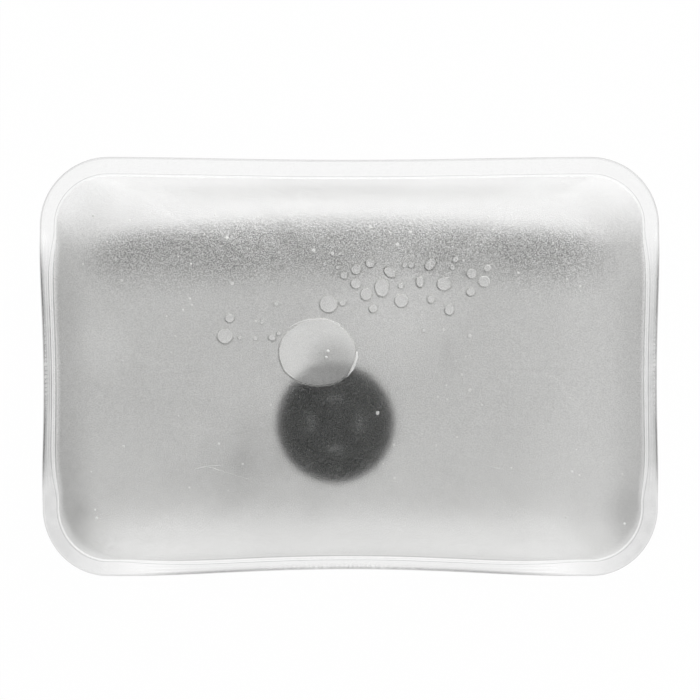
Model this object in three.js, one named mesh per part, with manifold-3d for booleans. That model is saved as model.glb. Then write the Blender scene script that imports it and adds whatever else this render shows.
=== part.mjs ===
// A reusable click hand warmer: a pouch of two soft clear films welded round the rim, filled with
// a salt solution, with a loose spring-steel disc inside. Bending the disc with a click starts
// the heat. Millimetres, +Z up. The pouch lies flat on its back film. The origin is under the
// middle of the pouch, on the surface that it lies on, and its length runs along X.

import * as THREE from "three";
import { mergeVertices } from "three/addons/utils/BufferGeometryUtils.js";
import Module from "manifold-3d";

// Pouch, as it lies filled
const pouchLength = 95;
const pouchWidth = 64.3;
const pouchThickness = 12.8;
const cornerRadius = 10.5;
const filmThickness = 0.4;
const seamHeight = 5.2;
// Distance in from the weld to where the underside lies flat on the table
const restMargin = 8.5;
// How full the upper film and the turned-up edge of the back film look: 1 is a straight slope
const frontFullness = 4.5;
const backFullness = 2.2;
// Inside the weld the contours grow rounder by this share of their distance in, up to a stadium
const roundingShare = 0.45;
const roundestShare = 0.9;

// Welded rim
const weldWidth = 2.4;
const weldPress = 0.1;
const beadWidth = 0.3;
const beadHeight = 0.12;
// The fill draws in the middle of each side, and the rim curls up along it. The higher the
// exponent, the nearer to the corners the curl holds.
const curlExponent = 8;
const rightPinch = 0.45;
const farPinch = 0.45;
const leftPinch = 0.6;
const nearPinch = 1.2;
const rightCurl = THREE.MathUtils.degToRad(48);
const farCurl = THREE.MathUtils.degToRad(0);
const leftCurl = THREE.MathUtils.degToRad(52);
const nearCurl = THREE.MathUtils.degToRad(44);
// Distance in from the weld over which the drawn-in sides fade out of the film's contours
const pinchFade = 14;

// Solution, clear of the films, and where it ends in the wedge between them
const fillClearance = 0.3;
const fillRimDistance = 1.2;
// Air that is left in the pouch floats up against the upper film
const bubbleLength = 12.1;
const bubbleWidth = 10.5;
const bubbleDepth = 2.2;
const bubbleXShare = -0.0514;
const bubbleYShare = 0.0334;
const smallBubbleDepthShare = 0.8;
// Small bubbles: place as shares of the pouch's length and width from its middle, and radius as
// a share of its width
const smallBubbleShares = [
  [-0.2, 0.072, 0.0205],
  [-0.192, 0.114, 0.013],
  [-0.034, 0.148, 0.0235],
  [0.01, 0.23, 0.0145],
  [0.033, 0.246, 0.0135],
  [0.011, 0.197, 0.015],
  [0.027, 0.171, 0.0165],
  [0.038, 0.138, 0.013],
  [0.052, 0.187, 0.0215],
  [0.065, 0.223, 0.0155],
  [0.083, 0.156, 0.0185],
  [0.13, 0.243, 0.0165],
  [0.152, 0.196, 0.019],
  [0.16, 0.135, 0.015],
  [0.196, 0.22, 0.0145],
  [0.194, 0.177, 0.013],
  [0.216, 0.201, 0.016],
];

// Clicker disc
const discDiameter = 18.2;
const discThickness = 0.25;
const discDomeHeight = 0.8;
const discRimWidth = 0.9;
const discSeatGap = 0.3;
const discXShare = -0.0231;
const discYShare = -0.1364;
// Short slits round its middle, where the first crystals form when it clicks
const slitCount = 4;
const slitLength = 2.6;
const slitWidth = 0.15;
const slitCircleDiameter = 7.6;
const slitOverrun = 1;

// Facets
const cornerSteps = 7;
const longSideSteps = 10;
const shortSideSteps = 8;
const frontRingShares = [0.03, 0.08, 0.15, 0.24, 0.36, 0.52, 0.76];
const backRingShares = [0.1, 0.25, 0.45, 0.7, 1];
const discSteps = 48;
const discRoomSteps = 32;
const discDomeSteps = 6;
const bubbleSteps = 20;
const smallBubbleSteps = 10;
const slitEndSteps = 4;

// Derived sizes
const halfLength = pouchLength / 2;
const halfWidth = pouchWidth / 2;
const weldHalfLength = halfLength - weldWidth;
const weldHalfWidth = halfWidth - weldWidth;
const weldCornerRadius = cornerRadius - weldWidth;
const frontRise = pouchThickness - seamHeight - filmThickness;
const backDrop = seamHeight - filmThickness;
const floorHeight = filmThickness;
const discRadius = discDiameter / 2;
const discX = discXShare * pouchLength;
const discY = discYShare * pouchWidth;
const discRestHeight = floorHeight + discSeatGap;

// The two walls that the fill presses apart, each leaving the weld and levelling out
const frontWall = {
  side: 1,
  height: frontRise,
  run: weldHalfWidth,
  fullness: frontFullness,
  ringShares: frontRingShares,
};
const backWall = {
  side: -1,
  height: backDrop,
  run: restMargin,
  fullness: backFullness,
  ringShares: backRingShares,
};

// Sides of the outline, anticlockwise from +X
const sides = [
  { steps: shortSideSteps, pinch: rightPinch, curl: rightCurl },
  { steps: longSideSteps, pinch: farPinch, curl: farCurl },
  { steps: shortSideSteps, pinch: leftPinch, curl: leftCurl },
  { steps: longSideSteps, pinch: nearPinch, curl: nearCurl },
];

// Stations round the outline. Each says which way is out, where its corner centre lies as shares
// of the corner centres' half spacing, and how much the side is drawn in and curled there. They
// stand closer together towards the corners, where the curl fades.
function makeStations() {
  const stations = [];
  const quarter = Math.PI / 2;
  sides.forEach((side, index) => {
    const facing = index * quarter;
    const out = new THREE.Vector2(Math.cos(facing), Math.sin(facing));
    const along = new THREE.Vector2(-out.y, out.x);
    for (let step = 0; step <= side.steps; step++) {
      const place = Math.sin(((2 * step) / side.steps - 1) * quarter);
      stations.push({
        out,
        centre: out.clone().addScaledVector(along, place),
        pinch: side.pinch * (1 - place ** 2) ** 2,
        curl: side.curl * (1 - place ** curlExponent) ** 2,
      });
    }
    for (let step = 1; step < cornerSteps; step++) {
      const angle = facing + (quarter * step) / cornerSteps;
      stations.push({
        out: new THREE.Vector2(Math.cos(angle), Math.sin(angle)),
        centre: out.clone().add(along),
        pinch: 0,
        curl: 0,
      });
    }
  });
  return stations;
}

const stations = makeStations();

// Point of a rounded rectangle at a station
function rectanglePoint(station, halfX, halfY, radius) {
  return new THREE.Vector2(
    station.centre.x * (halfX - radius) + station.out.x * radius,
    station.centre.y * (halfY - radius) + station.out.y * radius,
  );
}

// How far a station's weld lies inside its place on an evenly wide, flat rim
function weldShift(station) {
  return station.pinch - weldWidth * (1 - Math.cos(station.curl));
}

// Point on the rim, at a distance out from the weld's inner edge and above the seam's plane,
// which tilts with the curl
function rimPoint(station, outward, above) {
  const sine = Math.sin(station.curl);
  const cosine = Math.cos(station.curl);
  const inset = weldShift(station) - outward * cosine + above * sine;
  const weld = rectanglePoint(station, weldHalfLength, weldHalfWidth, weldCornerRadius);
  const plan = weld.addScaledVector(station.out, -inset);
  return new THREE.Vector3(plan.x, plan.y, seamHeight + outward * sine + above * cosine);
}

// Height of a wall's inner face from the seam, at a distance in from the weld
function wallReach(wall, distance) {
  const left = 1 - Math.min(distance / wall.run, 1);
  return wall.height * (1 - left ** wall.fullness);
}

// Point at a station on a face that runs alongside a wall's inner face: offset is positive
// towards the fill, and negative through the film to the outside
function wallPoint(station, wall, distance, offset) {
  const left = 1 - Math.min(distance / wall.run, 1);
  const slope = (wall.height * wall.fullness * left ** (wall.fullness - 1)) / wall.run;
  const tilt = Math.atan(slope);
  const inward = distance + offset * Math.sin(tilt);
  const reach = wallReach(wall, distance) - offset * Math.cos(tilt);
  const ringHalfLength = weldHalfLength - inward;
  const ringHalfWidth = weldHalfWidth - inward;
  const radius = Math.min(
    weldCornerRadius + roundingShare * inward,
    roundestShare * ringHalfWidth,
  );
  const plan = rectanglePoint(station, ringHalfLength, ringHalfWidth, radius);
  const fade = Math.max(1 - inward / pinchFade, 0) ** 2;
  plan.addScaledVector(station.out, -weldShift(station) * fade);
  return new THREE.Vector3(plan.x, plan.y, seamHeight + wall.side * reach);
}

// Middle of a face alongside a wall
function wallCentre(wall, offset) {
  return new THREE.Vector3(0, 0, seamHeight + wall.side * (wall.height - offset));
}

// Rings of a face alongside a wall, from the weld in to the middle
function wallRings(wall, offset) {
  return wall.ringShares.map((share) =>
    stations.map((station) => wallPoint(station, wall, share * wall.run, offset)),
  );
}

// Closed surface through rings of points, from one middle point out to the widest ring and back
// to another middle point. The turn is 1 where the first middle point is at the top and -1 where
// it is at the bottom. Faces out to the widest ring and back are split along the same diagonals,
// so that a thin film keeps its thickness where the rim is twisted.
function closedLoft(firstPoint, rings, lastPoint, turn, widestRing) {
  const count = rings[0].length;
  const points = [firstPoint, ...rings.flat(), lastPoint];
  const last = points.length - 1;
  const triangles = [];
  const addTriangle = (a, b, c) => triangles.push(...(turn > 0 ? [a, b, c] : [a, c, b]));
  for (let i = 0; i < count; i++) {
    const next = (i + 1) % count;
    addTriangle(0, 1 + i, 1 + next);
    for (let ring = 1; ring < rings.length; ring++) {
      const upper = 1 + (ring - 1) * count;
      const lower = upper + count;
      if (ring < widestRing) {
        addTriangle(upper + i, lower + i, lower + next);
        addTriangle(upper + i, lower + next, upper + next);
      } else {
        addTriangle(upper + i, lower + i, upper + next);
        addTriangle(upper + next, lower + i, lower + next);
      }
    }
    const end = 1 + (rings.length - 1) * count;
    addTriangle(end + i, last, end + next);
  }
  const geometry = new THREE.BufferGeometry();
  geometry.setAttribute(
    "position",
    new THREE.Float32BufferAttribute(points.flatMap((point) => point.toArray()), 3),
  );
  geometry.setIndex(triangles);
  return geometry;
}

// One film: its outer face from the middle out to the rim, the pressed weld with a bead along its
// inner edge, the seam face and the inner face back to the middle
function filmGeometry(wall) {
  const pressed = filmThickness - weldPress;
  const crest = filmThickness + beadHeight;
  const rimRing = (outward, above) =>
    stations.map((station) => rimPoint(station, outward, wall.side * above));
  const rings = [
    ...wallRings(wall, -filmThickness).reverse(),
    rimRing(beadWidth / 2, crest),
    rimRing(beadWidth, pressed),
    rimRing(weldWidth, pressed),
    rimRing(weldWidth, 0),
    rimRing(0, 0),
    ...wallRings(wall, 0),
  ];
  const outside = wallCentre(wall, -filmThickness);
  const seamRing = rings.length - 1 - wall.ringShares.length;
  return closedLoft(outside, rings, wallCentre(wall, 0), wall.side, seamRing);
}

// The space between the films, less a clearance, with a narrow edge where they come together
function fillGeometry() {
  const edgeRing = (wall) =>
    stations.map((station) => wallPoint(station, wall, fillRimDistance, fillClearance));
  const beyondEdge = (wall) => ({
    ...wall,
    ringShares: wall.ringShares.filter((share) => share * wall.run > fillRimDistance),
  });
  const upperRings = wallRings(beyondEdge(frontWall), fillClearance).reverse();
  const lowerRings = wallRings(beyondEdge(backWall), fillClearance);
  const rings = [...upperRings, edgeRing(frontWall), edgeRing(backWall), ...lowerRings];
  const top = wallCentre(frontWall, fillClearance);
  const bottom = wallCentre(backWall, fillClearance);
  return closedLoft(top, rings, bottom, frontWall.side, upperRings.length + 1);
}

// Height of the fill's upper face at a place near the middle of the pouch
function fillTopAt(x, y) {
  const distance = Math.min(weldHalfLength - Math.abs(x), weldHalfWidth - Math.abs(y));
  return seamHeight + wallReach(frontWall, distance) - fillClearance;
}

// Air pocket, widest where it meets the upper film
function bubbleGeometry(x, y, length, width, depth, steps) {
  const geometry = new THREE.SphereGeometry(1, steps, steps / 2);
  geometry.rotateX(Math.PI / 2);
  geometry.scale(length / 2, width / 2, depth);
  geometry.translate(x, y, fillTopAt(x, y));
  return geometry;
}

// Height of the disc's underside over its rim
function discArch(radius) {
  const domeRadius = discRadius - discRimWidth;
  const share = Math.min(radius / domeRadius, 1);
  return discDomeHeight * (1 - share * share);
}

// Profile points of the disc's dome from the middle to the rim, at a height over its underside
function discProfile(above) {
  const domeRadius = discRadius - discRimWidth;
  const points = [];
  for (let step = 0; step <= discDomeSteps; step++) {
    const radius = (domeRadius * step) / discDomeSteps;
    points.push(new THREE.Vector2(radius, discArch(radius) + above));
  }
  points.push(new THREE.Vector2(discRadius, above));
  return points;
}

// A lathe about Z from a closed profile of radius and height
function turned(profile, steps) {
  const geometry = new THREE.LatheGeometry(profile, steps);
  geometry.rotateX(Math.PI / 2);
  return geometry;
}

function discBlank() {
  return turned([...discProfile(0), ...discProfile(discThickness).reverse()], discSteps);
}

// Slit with round ends, lying along Y and cut through from below
function slitGeometry() {
  const radius = slitWidth / 2;
  const reach = slitLength / 2 - radius;
  const outline = new THREE.Shape();
  outline.absarc(0, reach, radius, 0, Math.PI, false);
  outline.absarc(0, -reach, radius, Math.PI, 2 * Math.PI, false);
  const depth = discDomeHeight + discThickness + 2 * slitOverrun;
  const geometry = new THREE.ExtrudeGeometry(outline, {
    depth,
    bevelEnabled: false,
    curveSegments: slitEndSteps,
  });
  geometry.translate(0, 0, -slitOverrun);
  return geometry;
}

// Room in the fill for the disc, open at the fill's underside
function discRoom() {
  const roomRadius = discRadius + fillClearance;
  const crown = discProfile(discThickness + fillClearance);
  crown[crown.length - 1].x = roomRadius;
  const base = -discSeatGap;
  return turned(
    [new THREE.Vector2(0, base), new THREE.Vector2(roomRadius, base), ...crown.reverse()],
    discRoomSteps,
  );
}

const wasm = await Module();
wasm.setup();

function solidOf(geometry) {
  const bare = geometry.index ? geometry.toNonIndexed() : geometry.clone();
  bare.deleteAttribute("normal");
  bare.deleteAttribute("uv");
  const merged = mergeVertices(bare);
  return new wasm.Manifold(
    new wasm.Mesh({
      numProp: 3,
      vertProperties: merged.attributes.position.array,
      triVerts: new Uint32Array(merged.index.array),
    }),
  );
}

function geometryOf(solid) {
  const mesh = solid.getMesh();
  const geometry = new THREE.BufferGeometry();
  geometry.setAttribute("position", new THREE.BufferAttribute(mesh.vertProperties, 3));
  geometry.setIndex(new THREE.BufferAttribute(mesh.triVerts, 1));
  return geometry;
}

function makeDisc() {
  let disc = solidOf(discBlank());
  for (let slit = 0; slit < slitCount; slit++) {
    const cutter = slitGeometry();
    cutter.translate(slitCircleDiameter / 2, 0, 0);
    cutter.rotateZ((2 * Math.PI * slit) / slitCount);
    disc = disc.subtract(solidOf(cutter));
  }
  return geometryOf(disc);
}

function makeSolution() {
  let fill = solidOf(fillGeometry());
  const bubbleX = bubbleXShare * pouchLength;
  const bubbleY = bubbleYShare * pouchWidth;
  const large = bubbleGeometry(
    bubbleX,
    bubbleY,
    bubbleLength,
    bubbleWidth,
    bubbleDepth,
    bubbleSteps,
  );
  fill = fill.subtract(solidOf(large));
  for (const [xShare, yShare, radiusShare] of smallBubbleShares) {
    const radius = radiusShare * pouchWidth;
    const small = bubbleGeometry(
      xShare * pouchLength,
      yShare * pouchWidth,
      2 * radius,
      2 * radius,
      smallBubbleDepthShare * radius,
      smallBubbleSteps,
    );
    fill = fill.subtract(solidOf(small));
  }
  const room = discRoom();
  room.translate(discX, discY, discRestHeight);
  return geometryOf(fill.subtract(solidOf(room)));
}

// Finishes
const filmMaterial = new THREE.MeshStandardMaterial({
  color: 0xf2f2ef,
  roughness: 0.45,
  metalness: 0,
  transparent: true,
  opacity: 0.35,
});
const solutionMaterial = new THREE.MeshStandardMaterial({
  color: 0xbababa,
  roughness: 0.1,
  metalness: 0,
  transparent: true,
  opacity: 0.6,
});
const steelMaterial = new THREE.MeshStandardMaterial({
  color: 0x8c8c8a,
  roughness: 0.35,
  metalness: 0.9,
});

function addPiece(group, name, geometry, material) {
  geometry.computeVertexNormals();
  const piece = new THREE.Mesh(geometry, material);
  piece.name = name;
  group.add(piece);
  return piece;
}

const handWarmer = new THREE.Group();
addPiece(handWarmer, "front_film", filmGeometry(frontWall), filmMaterial);
addPiece(handWarmer, "back_film", filmGeometry(backWall), filmMaterial);
addPiece(handWarmer, "solution", makeSolution(), solutionMaterial);
const clickerDisc = addPiece(handWarmer, "clicker_disc", makeDisc(), steelMaterial);
clickerDisc.position.set(discX, discY, discRestHeight);

export default handWarmer;
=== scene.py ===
import math
import random

import bpy
import numpy as np
from bpy.props import FloatProperty, FloatVectorProperty, IntProperty, PointerProperty
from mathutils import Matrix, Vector


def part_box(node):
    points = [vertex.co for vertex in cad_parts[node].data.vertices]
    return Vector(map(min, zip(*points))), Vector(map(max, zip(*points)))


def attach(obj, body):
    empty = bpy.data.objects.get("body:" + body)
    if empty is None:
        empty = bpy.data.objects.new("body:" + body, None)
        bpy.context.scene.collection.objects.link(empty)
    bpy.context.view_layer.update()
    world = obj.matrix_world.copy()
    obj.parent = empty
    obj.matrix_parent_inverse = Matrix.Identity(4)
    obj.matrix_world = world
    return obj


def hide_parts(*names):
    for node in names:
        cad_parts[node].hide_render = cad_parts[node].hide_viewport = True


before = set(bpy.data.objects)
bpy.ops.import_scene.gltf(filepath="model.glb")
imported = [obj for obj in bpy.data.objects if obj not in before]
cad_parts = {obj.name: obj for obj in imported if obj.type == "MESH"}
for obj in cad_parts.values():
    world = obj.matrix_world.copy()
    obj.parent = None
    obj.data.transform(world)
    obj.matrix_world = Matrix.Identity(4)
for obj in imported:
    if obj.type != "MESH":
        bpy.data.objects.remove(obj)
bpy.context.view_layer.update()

bl_info = {
    "name": "Reusable hand warmer",
    "version": (1, 0, 0),
    "blender": (4, 5, 0),
    "location": "3D View > Sidebar > Hand warmer",
    "description": "Dresses the hand warmer's frame with films, solution, bubbles and stage",
    "category": "Object",
}

MM = 0.001
FRONT_LOW, FRONT_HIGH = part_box("front_film")
BACK_LOW, BACK_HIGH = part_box("back_film")
DISC_LOW, DISC_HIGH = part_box("clicker_disc")
POUCH = "pouch"

# The photograph is 700 pixels wide, and the pouch's outline spans this much of it
PHOTO_PIXELS = 700
OUTLINE_LEFT, OUTLINE_RIGHT = 40, 659
OUTLINE_TOP, OUTLINE_BOTTOM = 157, 576
OUTLINE_CENTRE = ((OUTLINE_LEFT + OUTLINE_RIGHT) / 2, (OUTLINE_TOP + OUTLINE_BOTTOM) / 2)
PIXEL = (FRONT_HIGH[0] - FRONT_LOW[0]) / (OUTLINE_RIGHT - OUTLINE_LEFT)

# Air bubbles in the photograph: pixel across, pixel down, half width and half height in
# pixels, and for a leaning one the angle of its width in degrees
LARGE_BUBBLE = (317.7, 352.5, 39.4, 34.2)
BUBBLES = (
    (225.8, 336.2, 8.6, 8.6), (230.6, 318.6, 5.4, 5.4), (328.6, 304.3, 9.8, 9.6),
    (356.0, 270.0, 6.0, 6.2), (370.0, 263.5, 5.8, 5.6), (356.0, 284.0, 6.3, 6.3),
    (366.0, 294.7, 6.8, 7.2), (373.0, 308.7, 5.4, 5.4), (381.7, 288.0, 8.0, 10.5),
    (389.4, 273.0, 8.0, 5.3, -37.0), (401.0, 301.0, 7.7, 7.7), (430.0, 264.7, 8.3, 5.8, 52.0),
    (443.3, 284.2, 8.0, 8.0), (448.7, 310.0, 5.8, 6.6), (470.7, 274.2, 6.0, 6.0),
    (469.8, 292.4, 5.4, 5.2), (483.0, 282.3, 6.7, 6.4), (419.4, 282.3, 4.8, 6.9),
    (430.5, 299.5, 5.0, 5.2), (486.0, 269.0, 4.2, 4.2), (342.5, 303.3, 3.9, 3.9),
    (272.7, 337.7, 4.8, 4.4), (344.0, 276.0, 4.6, 4.6), (404.0, 265.6, 3.0, 3.2),
    (411.0, 266.0, 3.8, 3.6), (400.5, 286.5, 3.8, 3.6), (454.4, 260.3, 3.8, 4.0),
    (451.6, 268.3, 3.4, 3.2), (397.0, 245.0, 2.2, 2.2), (324.7, 265.0, 2.7, 2.7),
    (338.0, 268.0, 3.0, 3.0), (314.0, 251.0, 2.3, 2.2), (332.6, 254.0, 2.3, 2.3),
    (277.0, 304.0, 3.4, 3.2), (262.7, 322.8, 2.5, 2.5), (279.4, 333.4, 3.0, 3.0),
    (256.0, 338.7, 3.0, 2.8), (240.7, 338.0, 2.7, 2.7), (233.0, 284.0, 2.3, 2.3),
    (227.7, 238.3, 2.3, 2.3), (423.5, 330.5, 2.9, 2.9), (443.0, 329.7, 2.0, 2.0),
    (468.8, 335.8, 2.3, 2.3), (468.8, 389.8, 2.4, 2.4), (377.3, 412.5, 2.0, 2.0),
    (393.5, 444.4, 2.0, 2.0), (258.0, 218.6, 1.6, 1.6), (256.4, 321.5, 1.6, 1.6),
    (370.0, 227.7, 1.6, 1.6), (410.0, 233.0, 1.6, 1.6), (394.0, 477.0, 1.5, 1.5),
    (271.0, 404.6, 1.5, 1.5), (461.0, 374.5, 1.4, 1.4), (445.5, 385.0, 1.2, 1.2),
    (437.0, 396.5, 1.3, 1.3), (446.5, 399.0, 1.3, 1.3), (456.0, 436.5, 1.3, 1.3),
    (219.7, 443.3, 1.3, 1.3), (243.3, 463.3, 1.6, 1.6),
)

# Half width in pixels under which a bubble is only a bright speck
TINY = 2.5

# Painted image of the disc that the large bubble bends up: pixel across, pixel down, radius in
# pixels
BENT_IMAGE = (333.0, 365.0, 37.0)

# Fine scratches, the droplets on the film over the large bubble, and bright lines that are
# painted highlights along its rim: radius in millimetres, and the pixels that each passes
SCRATCHES = (
    (0.04, ((193, 468.5), (198, 467.8), (205, 466.1), (212, 465), (218, 464.8), (224, 464))),
    (0.04, ((203, 465.6), (211, 466.6), (218, 468.6), (226, 471.4), (238, 475.3), (250, 478))),
    (0.035, ((480, 465), (486, 465.4), (495, 467.2), (503.5, 468.7))),
)
DROPLETS = (
    (0.26, ((326.6, 350.9), (328.2, 351.2), (329.8, 351.0))),
    (0.22, ((324.9, 357.2), (326.4, 357.3), (327.9, 356.8))),
)
HIGHLIGHT_LINES = (
    (0.21, ((356.9, 351.5), (356.6, 357), (354.8, 363.5), (352.2, 369), (347, 376.5))),
    (0.05, ((286, 331.5), (292, 326.3), (299, 322.6), (308, 320.2), (318, 319.3), (328, 320.1),
            (337, 323), (344, 327.6))),
)

# Darker and lighter soft spots in the solution, some of them painted shade at the near corners
# and beside the disc, the painted shade in its thin far corners, and where the painted far
# streak is fainter: pixel across, pixel down, radius in pixels, strength
SPOTS_AND_PAINTED_SHADE = (
    (244, 461, 24, 0.35), (256, 430, 36, 0.25), (82, 512, 24, 0.35), (622, 509, 32, 0.5),
    (100, 260, 26, 0.3), (602, 260, 30, 0.38), (445, 347, 13, 0.3), (447, 361, 14, 0.25),
    (140, 400, 90, 0.12), (245, 472, 70, 0.45), (318, 503, 45, 0.3), (185, 476, 40, 0.2),
    (108, 345, 45, -0.2), (400, 300, 85, -0.25), (283, 462, 30, 0.3),
)
LIGHT_CLOUDS = ((398, 310, 80, 0.14), (102, 345, 45, 0.1), (550, 518, 38, 0.1))
STREAK_GAPS = ((385, 295, 80, 0.7), (290, 284, 60, 0.3), (472, 276, 50, 0.35))
CORNER_SHADES = ((605, 208, 42, 0.38), (92, 208, 30, 0.2))

# Changes of the solution's tint: the heights over the pouch's middle line, or the distances
# from its middle, between which it changes, and the values that it goes from and to
# FAR_ and NEAR_ values make the edges lighter, partly for the thinner solution there and partly
# as painted light from the softboxes, less the painted shade of FAR_SHADE; RIGHT_BRIGHT is
# painted light; STREAK_, LEFT_DARK, RIGHT_DARK and ENDS_ values are painted shade
FAR_BRIGHT = (19.2 * MM, 24.0 * MM)
FAR_WHITE = (27.2 * MM, 28.6 * MM, 0.69, 1.0)
FAR_SHADE_START = (24.6 * MM, 26.2 * MM, 0.0, 0.2)
FAR_SHADE_END = (26.8 * MM, 28.0 * MM, 1.0, 0.0)
FAR_SHADE_ENDS = (20 * MM, 32 * MM, 1.0, 0.0)
FAR_CORNER = (16.0 * MM, 25.2 * MM, 0.0, 1.0)
FAR_CORNER_ENDS = (32 * MM, 41 * MM, 0.0, 1.0)
NEAR_BRIGHT = (-19.3 * MM, -27.8 * MM, 0.0, 0.265)
NEAR_BRIGHT_ENDS = (33.7 * MM, 40.8 * MM, 1.0, 0.0)
NEAR_EDGE = (-25.8 * MM, -28.8 * MM, 0.0, 0.17)
NEAR_WEDGE = (0 * MM, -25 * MM, 1.0, 0.6)
STREAK_START = (12.3 * MM, 19.8 * MM, 0.0, 1.0)
STREAK_END = (19.8 * MM, 23.6 * MM, 1.0, 0.0)
STREAK_ENDS = (33.5 * MM, 42.5 * MM, 1.0, 0.0)
RIGHT_BRIGHT = (20 * MM, 38 * MM, 0.0, 0.16)
LEFT_DARK = (-38.5 * MM, -43.0 * MM, 0.0, 1.0)
RIGHT_DARK = (39.0 * MM, 43.0 * MM, 0.0, 1.0)
ENDS_START = (18 * MM, 11 * MM, 0.0, 0.28)
ENDS_DARKEN = (-4 * MM, -22 * MM, 0.0, 0.24)
GRAIN_START = (-28 * MM, -4 * MM)

# Share of the far streak's painted shade in the solution's tint, and the size and height of
# its sway
STREAK_SHARE = 0.22
SWAY = (14 * MM, 5 * MM)

# The lines along the far edge bow out by this times the square of the distance from the
# middle, less a start
BOW = 1.7
BOW_START = 0.4 * MM

# Clouds and mottle of the solution: size of the noise, and what they add at least and at most
CLOUDS = (9 * MM, 0.0, 0.2)
CLOUD_STRETCH = (1, 0.55, 1)
MOTTLE = (1.3 * MM, -0.09, 0.09)

# Where the weld is darker, towards the near corners: distances from the middle, and heights
# over the pouch's middle line
DARKENING_ENDS = (33 * MM, 46 * MM)
DARKENING_NEAR = (22 * MM, 5 * MM)

# The film's foot, a little darker at the near corners: heights over the weld, and its share
# of the weld's darkening there
FOOT = (1.0 * MM, 0.4 * MM)
FOOT_DARKENING = 0.3

# Size of the clouds in the pressed weld and in its cut edge, their depth, and the light that
# the grain holds back in the weld and the clouds in the cut edge
WELD_CLOUDS = 2.5 * MM
CUT_CLOUDS = 3 * MM
CLOUD_DEPTH = 0.02 * MM
WELD_GRAIN = 0.018
CUT_SHADE = 0.1

# Steel: size, stretch and depth of its rolled lines, by how much they change its roughness,
# size of its stains, and how dark and light they make it
LINES = 0.12 * MM
LINE_STRETCH = (0.05, 1, 1)
LINE_DEPTH = 0.0015 * MM
LINE_ROUGHNESS = 0.1
STAINS = 2.5 * MM
STAINED = (0.85, 1.15)

# Values between which a noise, a finer grain or the speckle goes over from low to high
NOISE_RISE = (0.3, 0.7)
GRAIN_RISE = (0.35, 0.65)
SPECKLE_RISE = (0.38, 0.62)

# How fast a face turns dark towards its edge: film, weld, cut edge and bubble
FILM_POWER = 4.0
WELD_POWER = 2.4
CUT_POWER = 1.6
BUBBLE_POWER = 2.0

# Roughness of the sheen of the weld, the cut edge and a bubble's floor, and the share of light
# that the floor reflects head on
WELD_ROUGHNESS = 0.22
CUT_ROUGHNESS = 0.25
FLOOR_ROUGHNESS = 0.12
BUBBLE_SHEEN = 0.02

# Share of light that a bright speck and a scratch scatter
SPECK_MILK = 0.95
SCRATCH_MILK = 0.45

# Heights between which the solution's upper face goes over from steep to level
LEVEL_RISE = (7 * MM, 10.5 * MM)

# Depth of the wetted emboss on a face with no setting of its own and on a bubble's floor, for
# each unit of the dry emboss's, and the share of its sheen that a wetted face keeps edge on
PLAIN_JITTER = 0.5
FLOOR_JITTER = 0.3
WET_SHEEN = 0.25

# Share of the emboss's hold on light that is left under the large bubble, and how far in from
# the rim of the disc's painted bent image the image is dark, for each unit of its radius
LARGE_ROOM_GRAIN = 0.4
BENT_CORE = 0.3

# Colour of light that passes a clear face head on, and by how much the milk of a dry film
# varies with the emboss
CLEAR = (0.995, 0.995, 0.995)
MILK_CHANGE = 0.16

# Which way the side of a bubble faces that gets painted light, and how far its rim has turned
# that way where it goes over to the painted light and to the painted shade
LIT_WAY = (0.6, 0.8, 0.0)
LIT_SIDE = (0.05, 0.4)
SHADED_SIDE = (-0.05, -0.35)

# How far in from the weld the rings of a wall reach, for each unit of the pouch's half width,
# and the power by which they crowd towards the weld
WALL_END = 0.86
CROWDING = 1.5

# Distance in from the weld of a wall's first ring, and how many it has: the outer face of a
# film, its inner face, and the solution
OUTER_RINGS = (0.5 * MM, 46)
INNER_RINGS = (0.6 * MM, 30)
FILL_RINGS = (0.1 * MM, 46)

# Section of the rim: how far out from the weld's inner edge in millimetres, and the height of
# the outer face over the weld, for each unit of the bead's height
BEAD = ((0.03, 0.95), (0.07, 0.99), (0.12, 1.0), (0.17, 0.96), (0.21, 0.87))

# The same for each unit of the pressed weld's height: the bead's foot, and the round cut edge
BEAD_FOOT = ((0.24, 1.22), (0.28, 1.04), (0.34, 1.0))
CUT_EDGE = (
    (2.14, 0.97), (2.26, 0.86), (2.34, 0.66), (2.385, 0.4), (2.4, 0.15), (2.4, 0.0),
)

# How far the bead stands out over the film, and how far the weld is pressed in
BEAD_RISE = 0.11 * MM
PRESSED_IN = 0.1 * MM

# Ribs along the pressed weld: how many, their height, where they end in millimetres out, and
# the steps of the loft over them
RIBS = 3
RIB_HEIGHT = 0.028 * MM
RIBS_END = 2.05
RIB_STEPS = 24

# Steps of a bubble's flat, of its shoulder and of its bowl, and the radii under which it has
# half or a quarter of the segments
FLAT_STEPS, SHOULDER_STEPS, BOWL_STEPS = 4, 4, 9
HALF_SEGMENTS = 1 * MM
QUARTER_SEGMENTS = 0.3 * MM

# Most of a bubble's radius that its shoulder may take up, and the gap between bubble and film
# besides the solution's own
SHOULDER_SHARE = 0.35
BUBBLE_GAP = 0.01 * MM

# How far a bubble's outline wavers, for each unit of its radius: waves round it, share
BUBBLE_WAVES = ((3, 0.012), (5, 0.01))
NEAR_WAVES = (13, 0.012)

# Specks: the pixels across that they lie between, the first pixel down, how far on they reach
# and by which power they thin out, their radii, and how far they stay off a bubble
SPECKS_ACROSS = (75, 625)
SPECKS_DOWN = (215, 310, 1.4)
SPECK_RADII = (0.8, 1.35)
SPECK_GAP = 1.5

# Sides of a fine line's section, and how thin its ends are for each unit of its radius
LINE_SIDES = 6
LINE_TAPER = 0.3

# How much larger a room in the solution is than its bubble, and the angle over which the edge
# that it cuts stays sharp
ROOM_GROWTH = 0.015 * MM
SHARP_ANGLE = math.radians(40)

# Reach of the floor to each side, and its height
FLOOR_REACH = 3.0
FLOOR_HEIGHT = -0.02 * MM

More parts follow.
